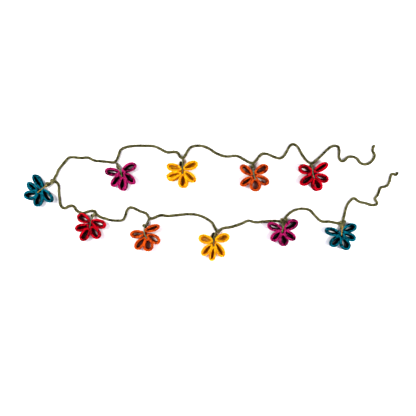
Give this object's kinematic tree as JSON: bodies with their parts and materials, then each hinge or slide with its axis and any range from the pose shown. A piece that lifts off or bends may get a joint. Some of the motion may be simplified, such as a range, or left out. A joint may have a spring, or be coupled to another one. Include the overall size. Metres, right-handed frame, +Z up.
{
  "type": "crochet garland",
  "caption": "Crocheted flower garland: flowers with open looped petals in mixed colours hang on short stems along one thin wavy cord, laid flat in a sideways U.",
  "frame": {"origin": "on the surface the garland lies on, below the middle of the whole", "axes": "+X along the laid-out garland towards its two free ends, +Y towards the upper run, +Z up from the surface"},
  "size_m": [0.5224, 0.1649, 0.009],
  "materials": {
    "olive_yarn": "matte cotton yarn",
    "teal_yarn": "matte cotton yarn",
    "magenta_yarn": "matte cotton yarn",
    "yellow_yarn": "matte cotton yarn",
    "orange_yarn": "matte cotton yarn",
    "red_yarn": "matte cotton yarn",
    "green_thread": "matte cotton thread",
    "tan_thread": "matte cotton thread"
  },
  "bodies": {
    "root": {"vine": "olive_yarn", "flower_teal_left": "teal_yarn", "stem_teal_left": "olive_yarn", "thread_teal_left": "tan_thread", "flower_magenta_upper": "magenta_yarn", "stem_magenta_upper": "olive_yarn", "thread_magenta_upper": "green_thread", "flower_yellow_upper": "yellow_yarn", "stem_yellow_upper": "olive_yarn", "thread_yellow_upper": "green_thread", "flower_orange_upper": "orange_yarn", "stem_orange_upper": "olive_yarn", "thread_orange_upper": "green_thread", "flower_red_upper": "red_yarn", "stem_red_upper": "olive_yarn", "thread_red_upper": "green_thread", "flower_red_lower": "red_yarn", "stem_red_lower": "olive_yarn", "thread_red_lower": "green_thread", "flower_orange_lower": "orange_yarn", "stem_orange_lower": "olive_yarn", "thread_orange_lower": "green_thread", "flower_yellow_lower": "yellow_yarn", "stem_yellow_lower": "olive_yarn", "thread_yellow_lower": "green_thread", "flower_magenta_lower": "magenta_yarn", "stem_magenta_lower": "olive_yarn", "thread_magenta_lower": "green_thread", "flower_teal_right": "teal_yarn", "stem_teal_right": "olive_yarn", "thread_teal_right": "tan_thread"}
  },
  "joints": []
}
